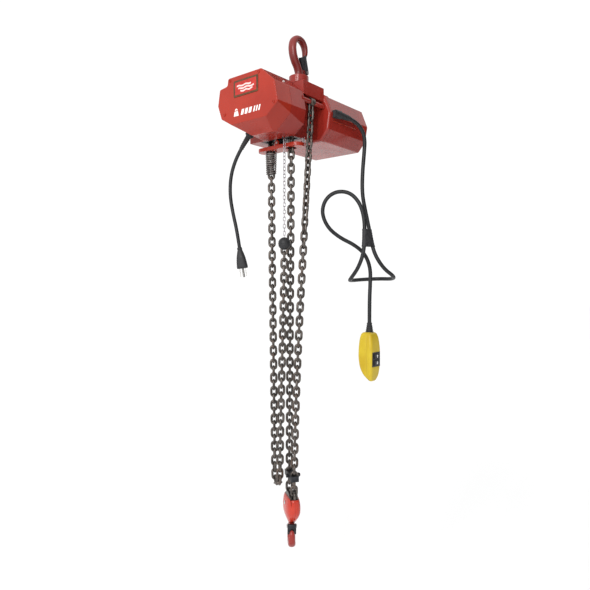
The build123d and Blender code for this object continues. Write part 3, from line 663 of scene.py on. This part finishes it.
block_across = Vector((math.cos(BLOCK_TURN), math.sin(BLOCK_TURN), 0))
block_axis = Vector((-math.sin(BLOCK_TURN), math.cos(BLOCK_TURN), 0))
live_end, dead_end = BLOCK - block_across * SHEAVE_R, BLOCK + block_across * SHEAVE_R
live_top, slack_top = WHEEL + Vector((WHEEL_R, 0, 0)), WHEEL - Vector((WHEEL_R, 0, 0))
loop_mid = (LOOP_START + LOOP_END) / 2
loop_r = (LOOP_START - LOOP_END).length / 2
loop_axis = (LOOP_END - LOOP_START).cross(Vector((0, 0, 1))).normalized() * -1
if loop_axis.dot(Y_AXIS) < 0:
    loop_axis = loop_axis * -1
dead_path = falling(ANCHOR + Vector((0, 0, -6)), (27, 8, -150), (dead_end.x, dead_end.y, -790), dead_end)
live_path = falling(live_end, (live_end.x, live_end.y, -880), (live_top.x, 0, -250), live_top)
slack_path = falling(slack_top, (slack_top.x, 0, -300), (LOOP_START.x, LOOP_START.y, -870), LOOP_START)
return_path = falling(LOOP_END, (LOOP_END.x, LOOP_END.y, -870), (SLACK_TOP.x, SLACK_TOP.y, -480), SLACK_TOP)
main_frames = path_frames([
    ("dead", dead_path, [(0, Y_AXIS), (0.2, Y_AXIS), (0.42, OUTWARD), (0.9, OUTWARD), (1, block_axis)]),
    ("sheave", arc(BLOCK, dead_end, BLOCK - Vector((0, 0, SHEAVE_R))), [(0, block_axis), (1, block_axis)]),
    ("live", live_path, [(0, block_axis), (0.1, OUTWARD), (0.86, OUTWARD), (0.94, Y_AXIS), (1, Y_AXIS)]),
    ("wheel", arc(WHEEL, live_top, WHEEL + Vector((0, 0, WHEEL_R))), [(0, Y_AXIS), (1, Y_AXIS)]),
    ("slack", slack_path, [(0, Y_AXIS), (0.06, Y_AXIS), (0.16, OUTWARD), (0.9, OUTWARD), (1, loop_axis)]),
    ("bight", arc(loop_mid, LOOP_START, loop_mid - Vector((0, 0, loop_r))), [(0, loop_axis), (1, loop_axis)]),
    ("return", return_path, [(0, loop_axis), (0.12, OUTWARD), (1, OUTWARD)])])
link = link_part(CHAIN_WIRE, CHAIN_PITCH, CHAIN_WIDTH)
links = chain_links(main_frames, CHAIN_PITCH, 7.0, link)


def chain_piece(name, label, body, stands_for):
    return piece(name, merge(name, links[label]), body, CHAIN, stands_for, 0)


chain_piece("sheave_links", "sheave", "load_block", ("sheave_chain",))
chain_piece("wheel_links", "wheel", "hoist", ("wheel_chain",))
chain_piece("bight_links", "bight", "slack_loop", ("slack_bight",))
for name, label, moving, stands_for, top, bottom in (
        ("dead_fall_links", "dead", "load_block", ("load_falls",), -0.16, -0.93),
        ("live_fall_links", "live", "load_block", ("load_falls",), -0.21, -0.93),
        ("slack_fall_links", "slack", "slack_loop", ("slack_fall",), -0.28, -0.92),
        ("return_links", "return", "slack_loop", ("slack_return",), -0.45, -0.92)):
    fall = chain_piece(name, label, None, stands_for)
    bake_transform(fall, "hoist", moving, start=(0, 0, top), end=(0, 0, bottom))

# the slack end: stop ball on a light keeper chain that hangs from an eye under the body
keeper_top = Vector((BALL.x, BALL.y, KEEPER_TOP_Z))
keeper_frames = path_frames([("keeper", [keeper_top, BALL + Vector((0, 0, 9))],
                              [(0, Y_AXIS), (1, OUTWARD)])])
keeper_link = link_part(KEEPER_WIRE, KEEPER_PITCH, KEEPER_WIDTH, 6, 8)
keeper = chain_links(keeper_frames, KEEPER_PITCH, KEEPER_PITCH / 2, keeper_link)["keeper"]
eye_rings = []
for k in range(17):
    a = math.pi * k / 16
    outward = Vector((0.6 * math.cos(a), 0.8 * math.cos(a), -math.sin(a)))
    eye_rings.append(ring_at(keeper_top + Vector((0, 0, 4)) + outward * 4.2, outward,
                             outward.cross(Vector((0.8, -0.6, 0))), oval(1.3, 1.3, 10)))
keeper.append(rings_to_part(eye_rings))
piece("keeper_links", merge("keeper_links", keeper), "hoist", KEEPER, ("keeper_chain",), 0)
ball_profile = []
for k in range(33):
    a = math.pi * k / 32
    seam = 0.5 if 0.08 < abs(a - math.pi / 2) < 0.2 else 0.0
    ball_profile.append((-BALL_R * math.cos(a), max(BALL_R * math.sin(a) - seam, 2.2)))
ball_mesh = merge("ball_body", [lathe(ball_profile, BALL, Z_AXIS, 40)])
piece("ball_body", ball_mesh, "hoist", RUBBER, ("ball_stop",), 50)


def coil(centre, top, bottom, turns, radius_top, radius_bottom, wire, steps=18):
    """A helical spring about a vertical line."""
    rings = []
    for k in range(turns * steps + 1):
        share = k / (turns * steps)
        a = 2 * math.pi * k / steps
        radius = radius_top + (radius_bottom - radius_top) * share
        outward = Vector((math.cos(a), math.sin(a), 0))
        middle = Vector((centre.x, centre.y, top + (bottom - top) * share)) + outward * radius
        rings.append(ring_at(middle, outward, Z_AXIS, oval(wire, wire, 10)))
    return rings_to_part(rings)


# spring that the limit plate carries round the slack side, and the small one that holds the plate down
limit_coil = merge("limit_coil", [coil(slack_top, SPRING_TOP, SPRING_BOTTOM, 12, 11.7, 10.3, 1.3)])
piece("limit_coil", limit_coil, "rocker", SPRING_STEEL, ("limit_spring",), 0)
plate_coil = coil(Vector((6, 6, 0)), BODY_UNDERSIDE, PLATE_TOP, 4, 3.6, 3.6, 0.7, 14)
plate_coil = piece("plate_coil", merge("plate_coil", [plate_coil]), None, KEEPER, (), 0)
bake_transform(plate_coil, "hoist", "rocker", start=(0, 0, -0.204), end=(0, 0, -0.2155))


# ---- hooks -------------------------------------------------------------------------------------------
def forged_hook(name, stations, place, body, material, stands_for):
    """A forged hook: stations of (across, height, half depth in the hook's plane, half width)."""
    rows = smooth_line(stations, 6)
    rings = []
    turn = place.to_3x3()
    side = turn @ X_AXIS
    for i, (y, z, depth, width) in enumerate(rows):
        before, after = rows[max(i - 1, 0)], rows[min(i + 1, len(rows) - 1)]
        along = Vector((0, after[0] - before[0], after[1] - before[1])).normalized()
        outward = turn @ Vector((0, along.z, -along.y))
        centre = place @ Vector((0, y, z))
        rings.append(ring_at(centre, outward, side, oval(max(depth, 0.4), max(width, 0.4), 28, 2.25)))
    piece(name, merge(name, [rings_to_part(rings)]), body, material, stands_for, 50)


TOP_HOOK = [(0, -97, 8.6, 8.6), (0, -80, 8.4, 8.4), (0, -72, 8.0, 8.2), (-1.2, -64, 7.8, 8.4),
            (-6, -54, 7.6, 8.6), (-13.0, -45, 7.4, 8.8), (-18.2, -35, 7.2, 9.0),
            (-20.9, -24, 7.0, 9.1), (-21.0, -15, 6.8, 9.1),
            (-18.2, -4.4, 6.5, 9.0), (-10.8, 3.2, 6.0, 8.8), (0, 5.6, 5.6, 8.5), (10.4, 2.8, 5.6, 8.2),
            (17.6, -4.6, 5.7, 7.6), (20.4, -13.6, 5.5, 6.9), (20.2, -21, 5.0, 6.2), (19.0, -27, 3.9, 4.8),
            (18.3, -30, 2.4, 2.9), (18.0, -31.2, 0.8, 0.9)]
forged_hook("suspension_hook_forging", TOP_HOOK, Matrix.Identity(4), "suspension", RED_FORGED,
            ("suspension_hook",))
LOW_HOOK = [(0, -1016, 6.3, 6.3), (0, -1023, 6.3, 6.3), (-0.5, -1027.5, 6.4, 6.6), (-2.6, -1031, 6.9, 7.1),
            (-7.4, -1035.6, 7.2, 7.4),
            (-13.4, -1041, 7.4, 8.0), (-18.2, -1047.5, 7.4, 8.4), (-19.9, -1054, 7.4, 8.6),
            (-17.4, -1063.5, 7.3, 8.7), (-10.2, -1070.2, 7.1, 8.7), (0, -1072.6, 6.9, 8.6),
            (10.2, -1070, 6.8, 8.2), (17, -1063, 6.6, 7.6), (19.5, -1054, 6.2, 6.8),
            (19.4, -1047.5, 5.3, 6.0), (18.6, -1042.5, 3.9, 4.5), (18.2, -1039.6, 2.2, 2.6),
            (18.0, -1038.4, 0.8, 0.9)]
low_place = Matrix.Translation((BLOCK.x, 0, 0)) @ Matrix.Rotation(HOOK_TURN - math.pi / 2, 4, "Z")
forged_hook("lower_hook_forging", LOW_HOOK, low_place, "bottom_hook", RED_CAST_PAINTED_SHADE, ("lower_hook",))


def lug(name, place, pivot, body):
    """The boss on the shank that the latch's rivet goes through."""
    y, z = pivot
    shank_y, half_width = 1.0, 5.2
    corners = []
    for k in range(13):
        a = -math.pi / 2 + math.pi * k / 12
        corners.append(Vector((-half_width, y + 4.6 * math.cos(a), z + 4.6 * math.sin(a))))
    corners += [Vector((-half_width, shank_y, z + 4.6)), Vector((-half_width, shank_y, z - 8.5))]
    points, faces = slab(corners, (1, 0, 0), 2 * half_width)
    mesh = rounded(merge(name, [([place @ p for p in points], faces)]), 0.8, 2)
    piece(name, mesh, body, RED_FORGED, (), 35)


lug("suspension_hook_lug", Matrix.Identity(4), (17, -63), "suspension")
lug("lower_hook_lug", low_place, (12.5, -1031), "bottom_hook")


def latch(name, place, outer, inner, body, stands_for):
    """A pressed latch: two cheeks and the web that joins them along their outer edge, as (across, height)."""
    outline = outer + list(reversed(inner))
    parts = []
    for x0 in (HOOK_CHEEK, -HOOK_CHEEK - CHEEK_THICK):
        parts.append(slab([Vector((x0, y, z)) for y, z in outline], X_AXIS, CHEEK_THICK))
    web = []
    for k, (y, z) in enumerate(outer):
        ahead, behind = outer[min(k + 1, len(outer) - 1)], outer[max(k - 1, 0)]
        along = Vector((0, ahead[0] - behind[0], ahead[1] - behind[1])).normalized()
        inward = Vector((0, along.z, -along.y)) * 1.5
        if inward.y > 0:
            inward = inward * -1
        edge = Vector((0, y, z))
        across = Vector((HOOK_CHEEK + 1.5, 0, 0))
        web.append([edge - across, edge + across, edge + across + inward, edge - across + inward])
    parts.append(rings_to_part(web))
    mesh = merge(name, [([place @ p for p in points], faces) for points, faces in parts])
    piece(name, rounded(mesh, 0.35, 2, 40), body, BLACK_STEEL, stands_for, 35)


latch("lower_latch_pressing", low_place,
      [(15.6, -1025.4), (18.2, -1027.0), (19.0, -1031.0), (18.0, -1035.3), (15.3, -1040.3), (13.3, -1044.8),
       (12.0, -1049.2)],
      [(10.2, -1026.0), (8.6, -1028.0), (8.2, -1031.0), (8.2, -1035.0), (8.3, -1040.0), (8.3, -1044.8),
       (8.6, -1049.2)], "bottom_latch", ("lower_latch",))
latch("suspension_latch_pressing", Matrix.Identity(4),
      [(20.4, -67.0), (22.6, -64.6), (22.4, -60.0), (20.2, -52.0), (17.6, -43.0), (15.4, -35.0), (14.0, -27.6)],
      [(14.0, -67.4), (12.4, -64.0), (12.6, -60.0), (13.4, -52.0), (12.6, -43.0), (11.2, -35.0), (10.4, -27.6)],
      "top_latch", ("suspension_latch",))


# ---- lower block: two smooth pressed halves ----------------------------------------------------------
BLOCK_ROWS = [(-971.0, 28.9, 11.0), (-971.8, 30.2, 12.2), (-974.5, 31.4, 13.6), (-979, 32.2, 14.6),
              (-986, 32.9, 15.7), (-994, 32.2, 16.0), (-1002, 29.8, 15.7), (-1009, 25.6, 14.4),
              (-1015, 20.2, 12.4), (-1020, 14.8, 10.2), (-1023.8, 10.6, 8.6), (-1025.6, 8.4, 7.4)]
block_rings = []
for z, half_s, half_n in smooth_line(BLOCK_ROWS, 3):
    outline = oval(half_s, half_n, 64, 2.75)
    block_rings.append(ring_at(Vector((BLOCK.x, 0, z)), block_across, block_axis, outline))
egg = merge("egg", [rings_to_part(block_rings)])
egg = cut(egg, merge("cavity", [lathe([(-GAP_HALF, CAVITY_R), (GAP_HALF, CAVITY_R)], BLOCK, block_axis, 64)]))
slot_ends = []
for k in range(48):
    a = 2 * math.pi * k / 48
    run = math.copysign(SLOT_REACH, math.cos(a))
    slot_ends.append(BLOCK + block_across * (run + GAP_HALF * math.cos(a))
                     + block_axis * GAP_HALF * math.sin(a) + Vector((0, 0, 4)))
egg = cut(egg, merge("slot", [slab(slot_ends, (0, 0, 1), 30)]))
neck_hole = merge("neck_hole", [lathe([(-1035, 7.4), (-1022.5, 7.4), (-1021.5, 9.9), (-1012, 9.9)],
                                      Vector((BLOCK.x, 0, 0)), (0, 0, 1), 40)])
egg = cut(egg, neck_hole)
for side, node in ((-1, "block_shell_near"), (1, "block_shell_far")):
    gap = 0.06 * side
    keep = [BLOCK + block_across * s * 60 + block_axis * n - Vector((0, 0, 60))
            for s, n in ((-1, gap), (1, gap), (1, 40 * side), (-1, 40 * side))]
    half = cut(egg.copy(), merge("keep", [slab(keep, (0, 0, 1), 120)]), "INTERSECT")
    half = rounded(tidy(half), 0.4, 2, 50)
    piece(node + "_pressing", half, "load_block", BLOCK_RED, (node,), 40)

# ---- housings ----------------------------------------------------------------------------------------
soften("front_cover", "hoist", RED, 0.8, 2, 24)
soften("centre_frame", "hoist", RED_CAST_PAINTED_SHADE, 1.2, 2, 24)
soften("motor_housing", "hoist", RED_CAST_PAINTED_SHADE, 1.0, 2, 24)
soften("end_cover", "hoist", RED_CAST_PAINTED_SHADE, 1.2, 2, 24)
soften("limit_rocker", "rocker", RED, 0.8)
for node, body, material, slot, width in (
        ("chain_guide", "hoist", BLACK_STEEL, "black_steel", 0.8),
        ("striker_clamp", "load_block", BLACK_STEEL, "black_steel", 1.0),
        ("limit_switch", "hoist", BLACK_PLASTIC, "black_plastic", 0.8),
        ("contactor", "hoist", BLACK_PLASTIC, "black_plastic", 0.8),
        ("switch_plate", "hoist", BLACK_PLASTIC, "black_plastic", 0.3),
        ("up_button", "up", BLACK_PLASTIC, "black_plastic", 0.4),
        ("down_button", "down", BLACK_PLASTIC, "black_plastic", 0.4)):
    soften(node, body, material, width)

# ---- pendant -----------------------------------------------------------------------------------------
PENDANT_ROWS = [(0, -9.5, 7.5, 10.5, 4), (1.4, -12.3, 10.3, 13.2, 5), (5, -15, 13, 15.7, 5.5),
                (16, -17.5, 16, 18.7, 6.5), (38, -19, 18, 20.8, 6.5), (60, -19, 18, 21.2, 6.5),
                (82, -15.5, 17.5, 20, 6.5), (98, -8, 16, 16.8, 6), (108, 0.5, 13, 11.8, 4.6),
                (111, 3, 11, 9.2, 3.4), (112, 4.5, 9.5, 7, 2.2)]   # drop, back, front, half width, corner


def rounded_box(half_a, half_b, corner, steps=9):
    """A rectangle with rounded corners about the origin."""
    out = []
    for k, (sign_a, sign_b) in enumerate(((1, 1), (-1, 1), (-1, -1), (1, -1))):
        for step in range(steps + 1):
            a = math.radians(90 * k + 90 * step / steps)
            out.append((sign_a * (half_a - corner) + corner * math.cos(a),
                        sign_b * (half_b - corner) + corner * math.sin(a)))
    return out


def pendant_mesh(name):
    rings = []
    for drop, back, front, half, corner in smooth_line(PENDANT_ROWS, 5):
        centre = Vector((PENDANT.x + (back + front) / 2, PENDANT.y, PENDANT_TOP - drop))
        rings.append(ring_at(centre, X_AXIS, Y_AXIS, rounded_box((front - back) / 2, half, corner)))
    return merge(name, [rings_to_part(rings)])


seat = box_mesh(SWITCH_X - 1.45, SWITCH_X + 6, PENDANT.y - 16.1, PENDANT.y + 16.1,
                SWITCH_Z - 16.6, SWITCH_Z + 16.6)
well = box_mesh(SWITCH_X - 12, SWITCH_X + 1, PENDANT.y - 13, PENDANT.y + 13, SWITCH_Z - 14.5, SWITCH_Z + 14.5)
case = cut(cut(pendant_mesh("case"), seat), well)
for node, x0, x1 in (("pendant_back", -40, 3.92), ("pendant_front", 4.08, 40)):
    keep = box_mesh(PENDANT.x + x0, PENDANT.x + x1, PENDANT.y - 40, PENDANT.y + 40, -760, -610)
    half = tidy(cut(case.copy(), keep, "INTERSECT"))
    piece(node + "_moulding", rounded(half, 0.5, 2, 50), "hoist", YELLOW, (node,), 40)
relief_profile = [(0, 5.0), (1, 6.0)]
for k in range(4):
    relief_profile += [(2 + 4.6 * k, 6.0 + 0.75 * k), (4.6 + 4.6 * k, 6.2 + 0.75 * k),
                       (5.0 + 4.6 * k, 5.6 + 0.75 * k), (6.2 + 4.6 * k, 5.7 + 0.75 * k)]
relief_profile += [(20.6, 9.3), (22, 9.5), (23.5, 9.0)]
relief_part = lathe(relief_profile, PENDANT, (0, 0, -1), 36)
piece("pendant_relief_boot", merge("pendant_relief_boot", [relief_part]), "hoist", RUBBER,
      ("pendant_relief",), 40)


def arrow(name, z, up, body):
    """A raised arrow on a button, pointing up or down."""
    x = SWITCH_X + 3.4
    outline = [(-1.1, -3.4), (1.1, -3.4), (1.1, 0.2), (3.2, 0.2), (0, 3.6), (-3.2, 0.2), (-1.1, 0.2)]
    corners = [Vector((x, PENDANT.y + a, z + b * up)) for a, b in outline]
    piece(name, merge(name, [slab(corners, X_AXIS, 0.15)]), body, WHITE_INK)


arrow("up_mark", SWITCH_Z + 7.4, 1, "up")
arrow("down_mark", SWITCH_Z - 7.4, -1, "down")


# ---- front plate and markings ------------------------------------------------------------------------
def rounded_outline(x0, x1, z0, z1, radius, steps=5):
    out = []
    for cx, cz, turn in ((x1 - radius, z1 - radius, 0), (x0 + radius, z1 - radius, 90),
                         (x0 + radius, z0 + radius, 180), (x1 - radius, z0 + radius, 270)):
        for k in range(steps + 1):
            a = math.radians(turn + 90 * k / steps)
            out.append(Vector((cx + radius * math.cos(a), 0, cz + radius * math.sin(a))))
    return out


def raised(name, outlines, y, thick, material, stands_for=(), edge=0.0):
    """Flat marks on the front, from outlines in X and Z."""
    parts = [slab([Vector((p.x, y, p.z)) for p in outline], (0, -1, 0), thick) for outline in outlines]
    mesh = merge(name, parts)
    if edge:
        mesh = rounded(mesh, edge, 2)
    piece(name, mesh, "hoist", material, stands_for, 35)


raised("nameplate_border", [rounded_outline(-84, -15, -130.4, -96.4, 2.5)], FRONT_Y, 0.9, GOLD_INK,
       ("nameplate",), 0.25)
raised("nameplate_field", [rounded_outline(-79.5, -19.5, -126.4, -100.4, 1.5)], FRONT_Y - 0.9, 0.15, FIELD_INK)
emblem = []
for row, (x0, x1) in enumerate(((-74, -34), (-70, -26), (-64, -30))):
    z = -107.6 - 5.6 * row
    wave = []
    for k in range(21):
        wave.append(Vector((x0 + (x1 - x0) * k / 20, 0, z + 0.9 * math.sin(k * 0.62 + row))))
    emblem.append(wave + [Vector((p.x, 0, p.z - 3.2)) for p in reversed(wave)])
raised("nameplate_emblem", emblem, FRONT_Y - 1.05, 0.12, PINK_INK)

# load pictogram: a weight with its ring, and slanted bars beside it
weight = [Vector((x, 0, z)) for x, z in ((-84, -169), (-70, -169), (-72.4, -159.5), (-81.6, -159.5))]
ring = []
for k in range(25):
    a = math.radians(-50 + 280 * k / 24)
    ring.append((RING_X + 3.4 * math.cos(a), RING_Z + 2.9 * math.sin(a)))
inner = [(RING_X + (x - RING_X) * 0.45, RING_Z + (z - RING_Z) * 0.45) for x, z in reversed(ring)]
marks = [weight, [Vector((x, 0, z)) for x, z in ring + inner]]
for x0, width in ((-64, 7), (-53, 7), (-42, 7), (-29, 3.4), (-22, 3.4), (-15, 3.4)):
    marks.append([Vector((x0, 0, MARK_BOTTOM)), Vector((x0 + width, 0, MARK_BOTTOM)),
                  Vector((x0 + width + MARK_SLANT, 0, MARK_TOP)), Vector((x0 + MARK_SLANT, 0, MARK_TOP))])
raised("load_pictogram", marks, FRONT_Y, 0.18, WHITE_INK)

screw_parts = []
for x, z in COVER_SCREWS:
    profile = [(0, 3.4), (0.9, 3.4), (1.4, 3.0), (1.6, 2.3), (1.6, 1.7), (0.7, 1.5), (0.7, 0.01)]
    screw_parts.append(lathe(profile, (x, FRONT_Y, z), (0, -1, 0), 24))
piece("cover_screw_heads", merge("cover_screw_heads", screw_parts), "hoist", RED,
      ("cover_screws",), 35)

# bright screw on the body's upper bevel
screw_profile = [(-1, 3.0), (0.9, 3.0), (1.5, 2.4), (1.7, 1.6), (1.0, 1.4), (1.0, 0.01)]
bevel_screw = lathe(screw_profile, (19, -72, -109.2), (0.653, 0, 0.758), 24)
piece("bevel_screw_head", merge("bevel_screw_head", [bevel_screw]), "hoist", BRIGHT, (), 35)

# ribs along the motor's side
ribs = []
for z in RIB_HEIGHTS:
    x = 46 + (z + 146) * 6 / 35
    corners = [Vector((x - 1, y, z + h))
               for y, h in ((RIB_Y0, -1.1), (RIB_Y1, -1.1), (RIB_Y1, 1.1), (RIB_Y0, 1.1))]
    ribs.append(slab(corners, (0.986, 0, -0.169), 1.9))
piece("motor_ribs", rounded(merge("motor_ribs", ribs), 0.3, 2), "hoist", RED, (), 35)

# collar on the anchor pin, where the last link hangs
collar = merge("collar", [lathe([(-6, 8.2), (6, 8.2)], ANCHOR, Y_AXIS, 32)])
collar = cut(collar, merge("bore", [lathe([(-8, 5.1), (8, 5.1)], ANCHOR, Y_AXIS, 32)]))
piece("anchor_collar", rounded(collar, 0.5, 2), "hoist", CHAIN)

# ---- CAD pieces that keep their own shape ------------------------------------------------------------
SLOT_MATERIALS = {"red_paint": RED_CAST_PAINTED_SHADE, "black_steel": BLACK_STEEL, "bright_steel": BRIGHT,
                  "chain_steel": GEAR_STEEL, "aluminium": ALUMINIUM, "core_steel": CORE, "black_rubber": RUBBER,
                  "brass_blades": BLADES, "yellow_plastic": YELLOW, "black_plastic": BLACK_PLASTIC,
                  "name_plate": GOLD_INK}
NODE_MATERIALS = {"anchor_pin": RED_CAST_PAINTED_SHADE, "block_sheave": CHAIN, "load_wheel": GEAR_STEEL}
slot_of = {row["node"]: row["material_slot"] for row in frame["record"]["subparts"]}
for node, obj in frame["nodes"].items():
    obj.data.materials.clear()
    obj.data.materials.append(NODE_MATERIALS.get(node, SLOT_MATERIALS[slot_of[node]]))


# ---- stage -------------------------------------------------------------------------------------------
def plain(name, colour, rough):
    material = bpy.data.materials.new(name)
    material.use_nodes = True
    shader = material.node_tree.nodes["Principled BSDF"]
    shader.inputs["Base Color"].default_value = (*colour, 1)
    shader.inputs["Roughness"].default_value = rough
    return material


FLOOR_Z = CAD_BOX[0].z - 0.35
floor_mesh = bpy.data.meshes.new("floor")
floor_mesh.from_pydata([(-30, -30, FLOOR_Z), (30, -30, FLOOR_Z), (30, 30, FLOOR_Z), (-30, 30, FLOOR_Z)], [],
                       [(0, 1, 2, 3)])
floor_mesh.materials.append(plain("floor_paper", (0.97, 0.97, 0.97), 0.7))
floor = bpy.data.objects.new("floor", floor_mesh)
bpy.context.scene.collection.objects.link(floor)


def softbox(name, place, target, width, height, power):
    data = bpy.data.lights.new(name, "AREA")
    data.shape = "RECTANGLE"
    data.size, data.size_y = width, height
    data.energy = power
    light = bpy.data.objects.new(name, data)
    light.location = place
    light.rotation_euler = (Vector(target) - Vector(place)).to_track_quat("-Z", "Y").to_euler()
    bpy.context.scene.collection.objects.link(light)


softbox("key", (0.25, -2.1, 0.35), (0, 0, -0.35), 0.14, 1.5, 16)
softbox("edge_light", (0.85, -1.7, 0.3), (0.05, 0.05, -0.13), 0.08, 1.2, 17)


def dark_card(name, corners):
    """A flag that the housings reflect but the camera doesn't see."""
    mesh = bpy.data.meshes.new(name)
    mesh.from_pydata(corners, [], [(0, 1, 2, 3)])
    mesh.materials.append(plain(name + "_cloth", (0.02, 0.02, 0.02), 0.9))
    card = bpy.data.objects.new(name, mesh)
    bpy.context.scene.collection.objects.link(card)
    card.visible_camera = False


dark_card("side_flag", [(1.9, -0.5, -0.6), (0.4, 2.3, -0.6), (0.4, 2.3, 0.6), (1.9, -0.5, 0.6)])
dark_card("top_flag", [(-0.85, 0.95, 0.45), (-0.35, 0.95, 0.45), (-0.35, 0.95, 1.0), (-0.85, 0.95, 1.0)])

world = bpy.data.worlds.new("studio")
bpy.context.scene.world = world
world.use_nodes = True
world.node_tree.nodes["Background"].inputs["Color"].default_value = (1, 1, 1, 1)
world.node_tree.nodes["Background"].inputs["Strength"].default_value = 1.06
bpy.context.scene.view_settings.view_transform = "Standard"
